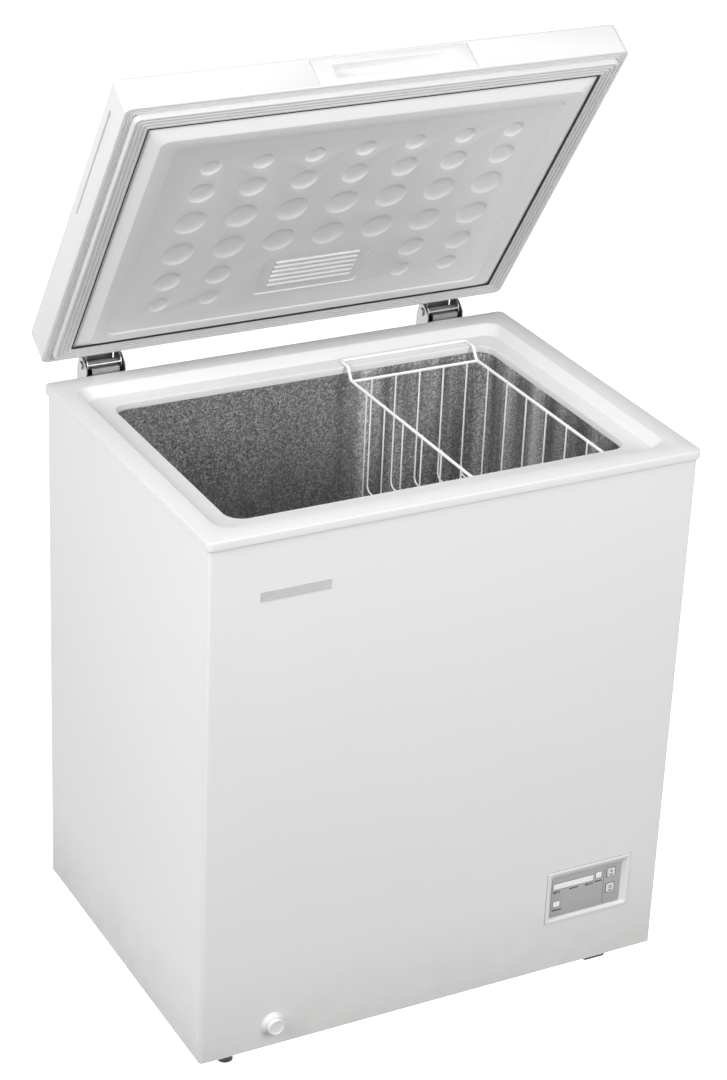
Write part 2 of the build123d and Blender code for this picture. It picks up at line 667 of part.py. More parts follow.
def basket_frame():
    """Thick wire: front bar, side rails, rear hooks joined by a rod, and a rear bar."""
    def half(x0):
        points = [
            (basket_xc, -basket_y, basket_z), (x0, -basket_y, basket_z), (x0, 174, basket_z),
            (x0, 184, hook_z), (x0, hook_y, hook_z), (basket_xc, hook_y, hook_z),
        ]
        return wire(points, [8, 6, 6, 8], frame_r)

    rear_bar = Pos(basket_xc, basket_y, basket_z) * Rot(0, 90, 0) * Cylinder(frame_r - 0.05, basket_x1 - basket_x0)
    return half(basket_x0) + half(basket_x1) + rear_bar


def basket_rail():
    """Ledge under the front lip, along which the front bar of the basket slides."""
    y0 = -mouth_y + 0.15
    shelf_z = basket_z - frame_r - 0.3
    rail = block(-rail_x, rail_x, y0, rail_y, shelf_z - 3, shelf_z)
    return rail + block(-rail_x, rail_x, y0, y0 + 3, shelf_z - 14, shelf_z)


def basket_wires():
    """Thin loops: five from front to back, six from left to right, crossing at the floor."""
    inset = frame_r + wire_r + 0.05
    loops = []
    ye, top = basket_y - inset, basket_z + 1.5
    for i in range(5):
        x = 170 + 38.0 * (i - 2)
        z = basket_floor + wire_r + 0.05
        loops.append(wire([(x, -ye, top), (x, -ye, z), (x, ye, z), (x, ye, top)], [10, 10], wire_r))
    x0, x1 = basket_x0 + inset, basket_x1 - inset
    for i in range(6):
        y = 53.3 * (i - 2.5)
        z = basket_floor - wire_r - 0.05
        loops.append(wire([(x0, y, top), (x0, y, z), (x1, y, z), (x1, y, top)], [10, 10], wire_r))
    return Compound(children=loops)


# ---------------------------------------------------------------- write everything

cabinet = {
    "outer_wrapper": outer_wrapper, "back_panel": back_panel, "base_pan": base_pan,
    "inner_liner": inner_liner, "liner_seam": liner_seam, "cabinet_foam": cabinet_foam,
    "top_rim": top_rim, "evaporator_coil": evaporator_coil, "condenser_coil": condenser_coil,
    "machine_cover": machine_cover, "compressor": compressor,
    "compressor_grommets": compressor_grommets, "relay_cover": relay_cover,
    "filter_drier": filter_drier, "discharge_pipe": discharge_pipe, "suction_pipe": suction_pipe,
    "rear_grille": rear_grille, "cord_inlet": cord_inlet, "control_bezel": control_bezel,
    "control_fascia": control_fascia, "control_board": control_board, "drain_spout": drain_spout,
    "drain_cap": drain_cap, "drain_tube": drain_tube, "floor_plug": floor_plug,
    "foot_front_left": levelling_foot, "badge_plate": badge_plate,
    "basket_rail": basket_rail, "basket_frame": basket_frame, "basket_wires": basket_wires,
}
for node, make in cabinet.items():
    save(node, make())

for node in windows:
    save(node, window(node))
for node in button_z:
    save(node, push_button(node))
for node, x, y in (("foot_front_right", 274, -225), ("foot_rear_left", -290, 225), ("foot_rear_right", 290, 225)):
    save(node, wide_foot(x, y))

lid_parts = {
    "lid_shell": lid_shell, "lid_foam": lid_foam, "lid_panel": lid_panel,
    "lid_gasket": lid_gasket, "lid_trim": lid_trim, "lid_handle": lid_handle,
}
for node, make in lid_parts.items():
    save(node, turned(make()))

for side, cx in (("left", -hinge_x), ("right", hinge_x)):
    save(f"hinge_base_{side}", hinge_base(cx))
    save(f"hinge_pin_{side}", hinge_pin(cx))
    save(f"hinge_screws_{side}", hinge_screws(cx))
    save(f"hinge_spring_{side}", hinge_spring(cx))
    save(f"plunger_{side}", plunger(cx))
    save(f"hinge_leaf_{side}", turned(hinge_leaf(cx)))
    save(f"cam_roller_{side}", turned(cam_roller(cx)))
    save(f"leaf_screws_{side}", turned(leaf_screws(cx)))
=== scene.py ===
import json
import math

import bmesh
import bpy
from mathutils import Matrix, Vector

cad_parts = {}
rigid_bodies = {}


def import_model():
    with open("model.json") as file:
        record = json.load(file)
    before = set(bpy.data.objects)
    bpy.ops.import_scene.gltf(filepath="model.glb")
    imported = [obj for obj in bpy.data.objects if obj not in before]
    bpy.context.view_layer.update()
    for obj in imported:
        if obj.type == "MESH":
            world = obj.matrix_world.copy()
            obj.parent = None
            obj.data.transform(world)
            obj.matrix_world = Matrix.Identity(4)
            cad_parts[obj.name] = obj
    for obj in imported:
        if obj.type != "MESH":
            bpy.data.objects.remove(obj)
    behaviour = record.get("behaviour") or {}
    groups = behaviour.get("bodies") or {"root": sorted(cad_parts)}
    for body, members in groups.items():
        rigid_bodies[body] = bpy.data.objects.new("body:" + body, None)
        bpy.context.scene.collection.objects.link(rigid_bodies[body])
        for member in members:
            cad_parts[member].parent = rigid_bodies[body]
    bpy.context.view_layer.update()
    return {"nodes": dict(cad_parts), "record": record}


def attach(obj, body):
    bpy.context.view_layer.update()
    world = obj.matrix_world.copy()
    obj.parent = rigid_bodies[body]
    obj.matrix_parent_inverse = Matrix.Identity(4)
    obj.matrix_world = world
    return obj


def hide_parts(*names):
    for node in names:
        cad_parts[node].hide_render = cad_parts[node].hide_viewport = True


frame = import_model()
nodes = frame["nodes"]
mm = 0.001

# the lid was drawn shut and then turned about its pins, so its pieces are too
lidTurn = {"pinY": 284.6, "pinZ": 799.3, "open": 56.9}


def letGo():
    if bpy.context.mode != "OBJECT":
        bpy.ops.object.mode_set(mode="OBJECT")
    bpy.ops.object.select_all(action="DESELECT")


def hold(piece):
    letGo()
    piece.select_set(True)
    bpy.context.view_layer.objects.active = piece
    return piece


def edit(piece):
    hold(piece)
    bpy.ops.object.mode_set(mode="EDIT")


def pick(kind, test):
    # selects vertices, edges or faces of the piece being edited, by place or normal
    mesh = bpy.context.edit_object.data
    bpy.ops.mesh.select_mode(type=kind)
    bpy.ops.mesh.select_all(action="DESELECT")
    shape = bmesh.from_edit_mesh(mesh)
    shape.verts.index_update()
    for item in {"VERT": shape.verts, "EDGE": shape.edges, "FACE": shape.faces}[kind]:
        if test(item):
            item.select = True
    shape.select_flush_mode()
    bmesh.update_edit_mesh(mesh)


def tidyNormals():
    bpy.ops.mesh.select_all(action="SELECT")
    bpy.ops.mesh.remove_doubles(threshold=1e-6)
    bpy.ops.mesh.normals_make_consistent(inside=False)


def newBox(name, low, high):
    # a cube between two corners, in millimetres
    letGo()
    centre = [(a + b) / 2 * mm for a, b in zip(low, high)]
    size = [(b - a) * mm for a, b in zip(low, high)]
    bpy.ops.mesh.primitive_cube_add(size=1, location=centre)
    piece = bpy.context.object
    piece.name = name
    piece.scale = size
    bpy.ops.object.transform_apply(location=True, rotation=True, scale=True)
    return piece


def newRing(middle, halfX, halfY, radius, steps):
    # one rounded rectangle of edges, added to the piece being edited
    bpy.ops.mesh.primitive_plane_add(size=2, location=middle)
    bpy.ops.transform.resize(value=(halfX * mm, halfY * mm, 1), center_override=middle)
    bpy.ops.mesh.bevel(offset=radius * mm, segments=steps, affect="VERTICES")
    bpy.ops.mesh.delete(type="ONLY_FACE")


def ringLoft(name, rings, centre=(0, 0), steps=6, closed=False, capFirst=False, capLast=False):
    # rings are (half width, half depth, height, corner radius, shift in y), bridged one to the next
    letGo()
    bpy.ops.mesh.primitive_plane_add(size=2, location=(0, 0, 0))
    piece = bpy.context.object
    piece.name = name
    bpy.ops.object.mode_set(mode="EDIT")
    bpy.ops.mesh.select_mode(type="VERT")
    bpy.ops.mesh.select_all(action="SELECT")
    bpy.ops.mesh.delete(type="VERT")
    # the rings stand well apart while they are bridged, and then slide to their own heights
    for place, (halfX, halfY, z, radius, *shift) in enumerate(rings):
        bpy.ops.mesh.select_all(action="DESELECT")
        middle = (centre[0] * mm, (centre[1] + sum(shift)) * mm, place * 0.5)
        newRing(middle, halfX, halfY, radius, steps)
    each = 4 * (steps + 1)
    last = len(rings)
    for first in range(last if closed else last - 1):
        pair = (first, (first + 1) % last)
        pick("VERT", lambda v: v.index // each in pair)
        bpy.ops.mesh.select_mode(type="EDGE")
        bpy.ops.mesh.bridge_edge_loops()
    for place, ring in enumerate(rings):
        pick("VERT", lambda v: v.index // each == place)
        bpy.ops.transform.translate(value=(0, 0, ring[2] * mm - place * 0.5))
    for wanted, ring in ((capFirst, 0), (capLast, last - 1)):
        if wanted:
            pick("VERT", lambda v: v.index // each == ring)
            bpy.ops.mesh.edge_face_add()
    bpy.ops.mesh.select_all(action="SELECT")
    bpy.ops.mesh.normals_make_consistent(inside=False)
    bpy.ops.object.mode_set(mode="OBJECT")
    return piece


def turned(name, profile, centre, axis, steps=40):
    # spins a profile of (radius, distance along the axis) round an axis through centre
    letGo()
    bpy.ops.mesh.primitive_plane_add(size=0.001, location=(0, 0, 0))
    piece = bpy.context.object
    piece.name = name
    bpy.ops.object.mode_set(mode="EDIT")
    bpy.ops.mesh.select_all(action="SELECT")
    bpy.ops.mesh.merge(type="CENTER")
    bpy.ops.transform.translate(value=(profile[0][0] * mm, 0, profile[0][1] * mm))
    for (r0, h0), (r1, h1) in zip(profile, profile[1:]):
        bpy.ops.mesh.extrude_region_move(
            TRANSFORM_OT_translate={"value": ((r1 - r0) * mm, 0, (h1 - h0) * mm)})
    bpy.ops.mesh.select_all(action="SELECT")
    bpy.ops.mesh.spin(steps=steps, angle=math.tau, center=(0, 0, 0), axis=(0, 0, 1))
    tidyNormals()
    bpy.ops.object.mode_set(mode="OBJECT")
    turn = Vector((0, 0, 1)).rotation_difference(Vector(axis)).to_matrix().to_4x4()
    piece.matrix_world = Matrix.Translation(Vector(centre) * mm) @ turn
    bpy.ops.object.transform_apply(location=True, rotation=True, scale=True)
    return piece


def bentWire(name, points, bend, radius, loop=False):
    # a path extruded point by point, its corners rounded, then given its thickness
    letGo()
    bpy.ops.mesh.primitive_plane_add(size=0.001, location=(0, 0, 0))
    piece = bpy.context.object
    piece.name = name
    bpy.ops.object.mode_set(mode="EDIT")
    bpy.ops.mesh.select_all(action="SELECT")
    bpy.ops.mesh.merge(type="CENTER")
    bpy.ops.transform.translate(value=Vector(points[0]) * mm)
    for before, after in zip(points, points[1:]):
        step = (Vector(after) - Vector(before)) * mm
        bpy.ops.mesh.extrude_region_move(TRANSFORM_OT_translate={"value": step})
    last = len(points) - 1
    if loop:
        pick("VERT", lambda v: v.index in (0, last))
        bpy.ops.mesh.edge_face_add()
    if last > 1:
        pick("VERT", lambda v: loop or 0 < v.index < last)
        bpy.ops.mesh.bevel(offset=bend * mm, segments=6, affect="VERTICES")
    bpy.ops.object.mode_set(mode="OBJECT")
    bpy.ops.object.convert(target="CURVE")
    piece = bpy.context.object
    piece.data.bevel_depth = radius * mm
    piece.data.bevel_resolution = 3
    piece.data.use_fill_caps = not loop
    bpy.ops.object.convert(target="MESH")
    return bpy.context.object


def softEdges(piece, width, segments=3, angle=30):
    hold(piece)
    bevel = piece.modifiers.new("edges", "BEVEL")
    bevel.width = width * mm
    bevel.segments = segments
    bevel.limit_method = "ANGLE"
    bevel.angle_limit = math.radians(angle)
    bpy.ops.object.modifier_apply(modifier=bevel.name)


def copyNode(nodeName, name):
    # the CAD solid's own shape, merged, so that its rounds can be shaded smoothly
    source = nodes[nodeName]
    hold(source)
    bpy.ops.object.duplicate()
    piece = bpy.context.object
    bpy.ops.object.parent_clear(type="CLEAR_KEEP_TRANSFORM")
    for key in list(piece.keys()):
        del piece[key]
    piece.name = name
    bpy.ops.mesh.customdata_custom_splitnormals_clear()
    bpy.ops.object.mode_set(mode="EDIT")
    bpy.ops.mesh.select_all(action="SELECT")
    bpy.ops.mesh.remove_doubles(threshold=2e-5)
    bpy.ops.object.mode_set(mode="OBJECT")
    return piece


def copyMoved(piece, offset):
    hold(piece)
    bpy.ops.object.duplicate()
    twin = bpy.context.object
    twin.location = Vector(offset) * mm
    bpy.ops.object.transform_apply(location=True, rotation=True, scale=True)
    return twin


def joined(pieces):
    hold(pieces[0])
    for other in pieces[1:]:
        other.select_set(True)
    bpy.ops.object.join()
    return bpy.context.object


def cutAway(piece, cutter):
    hold(piece)
    cut = piece.modifiers.new("cut", "BOOLEAN")
    cut.operation = "DIFFERENCE"
    cut.solver = "EXACT"
    cut.object = cutter
    bpy.ops.object.modifier_apply(modifier=cut.name)
    bpy.data.objects.remove(cutter)


def roundUprights(piece, radius, steps=6):
    # rounds the edges of a box that stand along z
    edit(piece)
    pick("EDGE", lambda e: abs((e.verts[0].co - e.verts[1].co).normalized().z) > 0.99)
    bpy.ops.mesh.bevel(offset=radius * mm, segments=steps, affect="EDGES")
    bpy.ops.object.mode_set(mode="OBJECT")


def tipForward(piece):
    # a piece drawn face up is stood on edge, so that its face looks to the front
    hold(piece)
    piece.matrix_world = Matrix.Rotation(math.radians(90), 4, "X") @ piece.matrix_world
    bpy.ops.object.transform_apply(location=True, rotation=True, scale=True)


def openLid(piece):
    hold(piece)
    pin = Matrix.Translation((0, lidTurn["pinY"] * mm, lidTurn["pinZ"] * mm))
    turn = Matrix.Rotation(-math.radians(lidTurn["open"]), 4, "X")
    piece.matrix_world = pin @ turn @ pin.inverted() @ piece.matrix_world
    bpy.ops.object.transform_apply(location=True, rotation=True, scale=True)


def putOn(piece, body, finish, replaced=(), smooth=30):
    hold(piece)
    bpy.ops.object.transform_apply(location=True, rotation=True, scale=True)
    bpy.ops.object.shade_smooth_by_angle(angle=math.radians(smooth))
    piece.data.materials.clear()
    piece.data.materials.append(finish)
    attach(piece, body)
    if replaced:
        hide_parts(*replaced)
    return piece


class Wire:
    # a socket that can be added, multiplied and so on, one Math node for each sum
    def __init__(self, tree, socket):
        self.tree = tree
        self.socket = socket

    def sum(self, operation, first, second, clamp=False):
        made = self.tree.nodes.new("ShaderNodeMath")
        made.operation = operation
        made.use_clamp = clamp
        for place, value in enumerate((first, second)):
            if isinstance(value, Wire):
                self.tree.links.new(value.socket, made.inputs[place])
            else:
                made.inputs[place].default_value = value
        return Wire(self.tree, made.outputs[0])

    def __add__(self, other):
        return self.sum("ADD", self, other)

    def __radd__(self, other):
        return self.sum("ADD", other, self)

    def __sub__(self, other):
        return self.sum("SUBTRACT", self, other)

    def __rsub__(self, other):
        return self.sum("SUBTRACT", other, self)

    def __mul__(self, other):
        return self.sum("MULTIPLY", self, other)

    def __rmul__(self, other):
        return self.sum("MULTIPLY", other, self)

    def clip(self):
        return self.sum("ADD", self, 0.0, clamp=True)


class Finish:
    # a material under construction: add() makes any node, feed() fills the shader
    def __init__(self, name, **plain):
        self.material = bpy.data.materials.new(name)
        self.material.use_nodes = True
        self.tree = self.material.node_tree
        self.shader = self.tree.nodes["Principled BSDF"]
        for socketName, value in plain.items():
            self.shader.inputs[socketName.replace("_", " ")].default_value = value
        self.here = self.add("ShaderNodeTexCoord", out="Object")

    def add(self, kind, settings=None, values=None, out=0):
        made = self.tree.nodes.new(kind)
        for key, value in (settings or {}).items():
            if key == "stops":
                ramp = made.color_ramp
                while len(ramp.elements) < len(value):
                    ramp.elements.new(0.5)
                for stop, (place, colour) in zip(ramp.elements, value):
                    stop.position = place
                    stop.color = (*colour, 1)
            else:
                setattr(made, key, value)
        for key, value in (values or {}).items():
            if isinstance(value, Wire):
                self.tree.links.new(value.socket, made.inputs[key])
            else:
                made.inputs[key].default_value = value
        return Wire(self.tree, made.outputs[out])

    def noise(self, scale, detail=2.0, place=None, rough=0.5):
        return self.add("ShaderNodeTexNoise", None,
                        {"Vector": place or self.here, "Scale": scale, "Detail": detail, "Roughness": rough})

    def ramp(self, value, *stops):
        return self.add("ShaderNodeValToRGB", {"stops": stops}, {"Fac": value})

    def mixed(self, factor, first, second):
        values = {0: factor, 6: first, 7: second}
        return self.add("ShaderNodeMix", {"data_type": "RGBA"}, values, out=2)

    def part(self, letter):
        return self.add("ShaderNodeSeparateXYZ", None, {"Vector": self.here}, out=letter)

    def bump(self, height, strength, distance, under=None):
        values = {"Height": height, "Strength": strength, "Distance": distance}
        if under:
            values["Normal"] = under
        return self.add("ShaderNodeBump", None, values)

    def feed(self, **wires):
        for key, wire in wires.items():
            self.tree.links.new(wire.socket, self.shader.inputs[key.replace("_", " ")])
        return self.material


def grey(value, blue=0.0):
    return (value, value, value + blue, 1)


def enamelFinish(name, tone=0.80, gloss=0.30):
    # stove enamel on sheet steel: orange peel, faint handling marks, dust low down
    paint = Finish(name, IOR=1.5)
    cloud = paint.noise(2.6, 4)
    smear = paint.noise(23, 5, rough=0.65)
    low = (1 - paint.part("Z") * 7).clip() * smear
    colour = paint.mixed(cloud, grey(tone - 0.02, 0.004), grey(tone + 0.015, 0.002))
    colour = paint.mixed(low * 0.5, colour, (0.42, 0.39, 0.34, 1))
    peel = paint.bump(paint.noise(380, 2) + paint.noise(1400, 1) * 0.25, 0.16, 0.0004)
    wave = paint.bump(paint.noise(9, 1), 0.10, 0.004, peel)
    return paint.feed(Base_Color=colour, Roughness=gloss + smear * 0.12 + low * 0.3, Normal=wave)


def mouldedFinish(name, tone, gloss=0.36, tint=(0, 0, 0), speck=0.04):
    # injection moulded plastic: fine spark texture, slow flow shading, soft scuffs
    plastic = Finish(name, IOR=1.49)
    flow = plastic.noise(6, 3)
    scuff = plastic.noise(60, 6, rough=0.7)
    first = (tone - 0.03 + tint[0], tone - 0.03 + tint[1], tone - 0.03 + tint[2], 1)
    second = (tone + 0.02 + tint[0], tone + 0.02 + tint[1], tone + 0.02 + tint[2], 1)
    colour = plastic.mixed(flow * 0.6 + scuff * 0.4, first, second)
    grain = plastic.bump(plastic.noise(1700, 2), speck, 0.0003)
    return plastic.feed(Base_Color=colour, Roughness=gloss + scuff * 0.16, Normal=grain)


def stuccoFinish(name):
    # embossed aluminium: pebbled cells about two millimetres across, each tilted its own way; each cell's
    # glint is painted into the colour as painted highlights and painted shade
    metal = Finish(name, Metallic=0.82)
    warp = metal.add("ShaderNodeTexNoise", None,
                     {"Vector": metal.here, "Scale": 260.0, "Detail": 1.0}, out="Color")
    warped = metal.add("ShaderNodeVectorMath", {"operation": "MULTIPLY_ADD"},
                       {0: warp, 1: (0.0016,) * 3, 2: metal.here})
    pebbles = {"Vector": warped, "Scale": 540.0}
    cell = metal.add("ShaderNodeTexVoronoi", {"feature": "F1"}, pebbles)
    tilt = metal.add("ShaderNodeTexVoronoi", {"feature": "F1"}, pebbles, out="Color")
    # painted glint: each cell's tilt sets a lighter or darker colour that stands in for its reflection
    painted_glint = metal.add("ShaderNodeSeparateXYZ", None, {"Vector": tilt}, out="X")
    upright = metal.add("ShaderNodeMapping", None, {"Vector": metal.here, "Scale": (1, 1, 0.06)})
    bands = metal.noise(26, 3, place=upright)
    cloud = metal.noise(7, 4)
    painted_fold_side = (metal.part("X") * 12 - 0.3).clip()        # painted fold shading and a painted lighter tone mostly show to the right of the seam
    # painted light and shade of the drawn folds, as vertical streaks in the colour
    painted_fold_shading = (bands - 0.5) * (painted_fold_side * 1.9 + 0.15)
    # the colour sums painted glints, painted fold shading and a painted lighter right side over a random
    # cloud
    tone = (painted_glint * 0.5 + painted_fold_shading + cloud * 0.2 + painted_fold_side * 0.1 + 0.02).clip()
    dark, middle, light = (0.18, 0.18, 0.19), (0.42, 0.42, 0.43), (0.98, 0.98, 0.98)
    colour = metal.ramp(tone, (0.0, dark), (0.45, middle), (0.9, light))
    height = metal.bump(1 - cell, 0.55, 0.0008)
    folds = metal.bump(bands, 0.55, 0.012, height)
    return metal.feed(Base_Color=colour, Roughness=0.34 + painted_glint * 0.22, Normal=folds)


def gasketFinish(name):
    # soft vinyl: matt, slightly mottled, dusty in places
    vinyl = Finish(name, IOR=1.5)
    mottle = vinyl.noise(70, 5, rough=0.7)
    colour = vinyl.mixed(mottle, (0.66, 0.66, 0.66, 1), (0.75, 0.75, 0.748, 1))
    grain = vinyl.bump(vinyl.noise(1500, 1), 0.06, 0.0003)
    return vinyl.feed(Base_Color=colour, Roughness=0.50 + mottle * 0.14, Normal=grain)


def coatedWireFinish(name):
    # dipped plastic over wire: glossy, with slow thickness ripples
    coat = Finish(name, IOR=1.5)
    ripple = coat.noise(160, 2)
    colour = coat.mixed(coat.noise(12, 3), grey(0.90, 0.005), grey(0.96, 0.0))
    drip = coat.bump(ripple, 0.25, 0.0006)
    return coat.feed(Base_Color=colour, Roughness=0.24 + ripple * 0.14, Normal=drip)


def zincFinish(name, tone=0.62, rough=0.34):
    # plated pressed steel: dull patches and fine drawing lines
    zinc = Finish(name, Metallic=1.0)
    stretched = zinc.add("ShaderNodeMapping", None, {"Vector": zinc.here, "Scale": (1, 1, 14)})
    lines = zinc.noise(520, 3, place=stretched)
    patch = zinc.noise(45, 5, rough=0.65)
    colour = zinc.mixed(patch, grey(tone - 0.14, 0.01), (tone + 0.08, tone + 0.08, tone + 0.06, 1))
    scratch = zinc.bump(lines, 0.15, 0.0002)
    return zinc.feed(Base_Color=colour, Roughness=rough + patch * 0.2 + lines * 0.06, Normal=scratch)


def copperFinish(name):
    # drawn tube, tarnished in patches
    copper = Finish(name, Metallic=1.0)
    tarnish = copper.noise(55, 6, rough=0.7)
    colour = copper.mixed(tarnish, (0.86, 0.42, 0.24, 1), (0.36, 0.17, 0.10, 1))
    drawn = copper.bump(copper.noise(900, 2), 0.12, 0.0002)
    return copper.feed(Base_Color=colour, Roughness=0.28 + tarnish * 0.25, Normal=drawn)


def darkFinish(name, tone, rough, scale=900.0):
    # black enamel or moulded black plastic, with dust and rubbed spots
    dark = Finish(name, IOR=1.5)
    dust = dark.noise(48, 6, rough=0.7)
    colour = dark.mixed((dust * 1.6 - 0.55).clip(), grey(tone), (tone + 0.035, tone + 0.033, tone + 0.03, 1))
    grain = dark.bump(dark.noise(scale, 2), 0.25, 0.0003)
    return dark.feed(Base_Color=colour, Roughness=rough + dust * 0.2, Normal=grain)


def foamFinish(name):
    # rigid foam, tan, with open cells
    foam = Finish(name)
    cells = foam.add("ShaderNodeTexVoronoi", None, {"Vector": foam.here, "Scale": 700.0}, out="Distance")
    colour = foam.mixed(foam.noise(30, 4), (0.78, 0.68, 0.42, 1), (0.66, 0.55, 0.32, 1))
    return foam.feed(Base_Color=colour, Roughness=0.75 + cells * 0.2, Normal=foam.bump(cells, 0.5, 0.001))


def boardFinish(name):
    # green lacquer over raised tracks
    board = Finish(name, IOR=1.5)
    tracks = board.add("ShaderNodeTexBrick", None, {"Vector": board.here, "Scale": 180.0}, out="Fac")
    colour = board.mixed(tracks, (0.02, 0.16, 0.07, 1), (0.05, 0.28, 0.12, 1))
    return board.feed(Base_Color=colour, Roughness=0.4 + tracks * 0.2, Normal=board.bump(tracks, 0.2, 0.0002))


def brightFinish(name):
    # satin strip, wiped now and then
    bright = Finish(name, Metallic=0.25)
    wiped = bright.noise(90, 4)
    colour = bright.mixed(wiped, grey(0.48), grey(0.43, 0.005))
    haze = bright.bump(bright.noise(600, 2), 0.06, 0.0002)
    return bright.feed(Base_Color=colour, Roughness=0.34 + wiped * 0.14, Normal=haze)


def windowFinish(name):
    # milky acrylic over a lamp that is off
    clear = Finish(name, IOR=1.49, Coat_Weight=1.0, Coat_Roughness=0.06)
    cloud = clear.noise(120, 3)
    colour = clear.mixed(cloud, (0.88, 0.885, 0.89, 1), (0.96, 0.96, 0.96, 1))
    return clear.feed(Base_Color=colour, Roughness=0.16 + cloud * 0.1, Normal=clear.bump(cloud, 0.05, 0.0002))


finishes = {
    "white_paint": enamelFinish("white_enamel"),
    "white_plastic": mouldedFinish("white_moulding", 0.80, 0.34),
    "panel_plastic": mouldedFinish("lid_panel_plastic", 0.80, 0.42, (0, 0, 0.002)),
    "gasket": gasketFinish("gasket_vinyl"),
    "foam": foamFinish("rigid_foam"),
    "embossed": stuccoFinish("embossed_aluminium"),
    "zinc": zincFinish("zinc_plate"),
    "steel": zincFinish("drawn_steel", 0.5, 0.26),
    "copper": copperFinish("copper_tube"),
    "black_paint": darkFinish("black_enamel", 0.018, 0.3, 500.0),
    "black_plastic": darkFinish("black_moulding", 0.022, 0.42),
    "grommet": darkFinish("grommet_rubber", 0.03, 0.6),
    "coated_wire": coatedWireFinish("coated_wire"),
    "fascia": mouldedFinish("fascia_print", 0.42, 0.3, (0, 0.002, 0.006)),
    "clear": windowFinish("smoked_window"),
    "board": boardFinish("circuit_board"),
    "spring": zincFinish("spring_steel", 0.42, 0.3),
    "bright": brightFinish("bright_strip"),
    "print": darkFinish("dark_printing", 0.03, 0.45, 2000.0),
}
for part in frame["record"]["subparts"]:
    own = nodes[part["node"]]
    own.data.materials.clear()
    own.data.materials.append(finishes[part["material_slot"]])
print("finishes made and put on", len(nodes), "CAD nodes")


# collar round the opening: skirt, seat for the seal, slope, ledge and lip
rim = {
    "outer": (356.5, 264.5), "skirtZ": 779.0, "top": 791.0, "radius": 9.0,
    "seat": (326.0, 231.0), "ledge": (316.0, 219.0), "ledgeZ": 777.3,
    "mouth": (290.0, 191.0), "mouthRadius": 25.0, "lipZ": 766.8, "wall": 2.5,
}


def topRim():
    ox, oy = rim["outer"]
    sx, sy = rim["seat"]
    lx, ly = rim["ledge"]
    mx, my = rim["mouth"]
    t, top, foot, lip, mouthR = rim["wall"], rim["top"], rim["ledgeZ"], rim["lipZ"], rim["mouthRadius"]
    rings = [
        (ox, oy, rim["skirtZ"], rim["radius"]),
        (ox, oy, top, rim["radius"]),
        (sx, sy, top, 22),
        (lx, ly, foot, 18),
        (mx, my, foot, mouthR),
        (mx, my, lip, mouthR),
        (mx + t, my + t, lip, mouthR + t),
        (mx + t, my + t, foot - t, mouthR + t),
        (lx + t, ly + t, foot - t, 20),
        (sx + t, sy + t, top - 4.8, 24),
        (ox - 3.7, oy - 3.7, top - 4.8, 5.3),
        (ox - 3.7, oy - 3.7, rim["skirtZ"], 5.3),
    ]
    piece = ringLoft("top_rim_moulding", rings, steps=8, closed=True)
    softEdges(piece, 1.3, 3, 25)
    return putOn(piece, "cabinet", finishes["white_plastic"], ["top_rim"])


topRim()
print("top rim lofted")


panShape = {
    "centre": (0, 0.25), "half": (356.5, 263.75), "low": 799.8, "high": 847.5, "wall": 4.0, "edge": 3.2,
    "handle": ((-95.1, -266.0, 801.6), (131.1, -257.0, 842.6)),
    "grip": (-223.0, -19.0, 811.0, 833.0, 2.6),
}


def lidPan():
    # painted pan, folded in along its lower edge, with a finger grip pressed into each side
    halfX, halfY = panShape["half"]
    low, high, wall = panShape["low"], panShape["high"], panShape["wall"]
    rings = [
        (halfX - wall, halfY - wall, high - wall, 6),
        (halfX - wall, halfY - wall, low, 6),
        (halfX, halfY, low, 9),
        (halfX, halfY, high, 9),
    ]
    piece = ringLoft("lid_pan", rings, panShape["centre"], 8, capFirst=True, capLast=True)
    edit(piece)
    pick("EDGE", lambda e: all(v.co.z > (high - 0.1) * mm for v in e.verts))
    bpy.ops.mesh.bevel(offset=panShape["edge"] * mm, segments=5, affect="EDGES")
    bpy.ops.object.mode_set(mode="OBJECT")
    cutAway(piece, newBox("handle_gap", *panShape["handle"]))
    y0, y1, z0, z1, deep = panShape["grip"]
    for side in (-1, 1):
        inner, outer = side * (halfX - deep), side * (halfX + 2)
        wedge = newBox("grip", (min(inner, outer), y0, z0), (max(inner, outer), y1, z1))
        edit(wedge)
        pick("VERT", lambda v: v.co.z < (z0 + 1) * mm and abs(v.co.x) < halfX * mm)
        bpy.ops.transform.translate(value=(side * (deep + 0.3) * mm, 0, 0))
        bpy.ops.object.mode_set(mode="OBJECT")
        cutAway(piece, wedge)
    softEdges(piece, 0.3, 2, 25)
    openLid(piece)
    return putOn(piece, "lid", finishes["white_paint"], ["lid_shell"])


trimShape = {
    "face": 799.0, "floor": 800.7, "back": 805.6,
    "lip": 0.6, "lipRise": 0.7, "inside": 4.3, "step": 12.1, "inner": 35.0,
    "grooves": ((4.6, 5.9), (8.0, 9.3)), "grooveDepth": 1.0, "grooveSlope": 0.2,
}


def lidTrim():
    # section of the edge frame, from its outer lip inwards, with two fine grooves
    shape = trimShape
    halfX, halfY = panShape["half"]
    face, floor, back, step = shape["face"], shape["floor"], shape["back"], shape["step"]
    bottom, slope, rise = face + shape["grooveDepth"], shape["grooveSlope"], face + shape["lipRise"]
    section = [(shape["lip"], rise), (shape["lip"], face)]
    for start, end in shape["grooves"]:
        section += [(start, face), (start + slope, bottom), (end - slope, bottom), (end, face)]
    section += [(step, face), (step, floor), (shape["inner"], floor), (shape["inner"], back)]
    section += [(shape["inside"], back), (shape["inside"], rise)]
    rings = [(halfX - inset, halfY - inset, z, max(9 - inset * 0.4, 2)) for inset, z in section]
    piece = ringLoft("lid_edge_frame", rings, panShape["centre"], 6, closed=True)
    openLid(piece)
    return putOn(piece, "lid", finishes["white_plastic"], ["lid_trim"], 25)


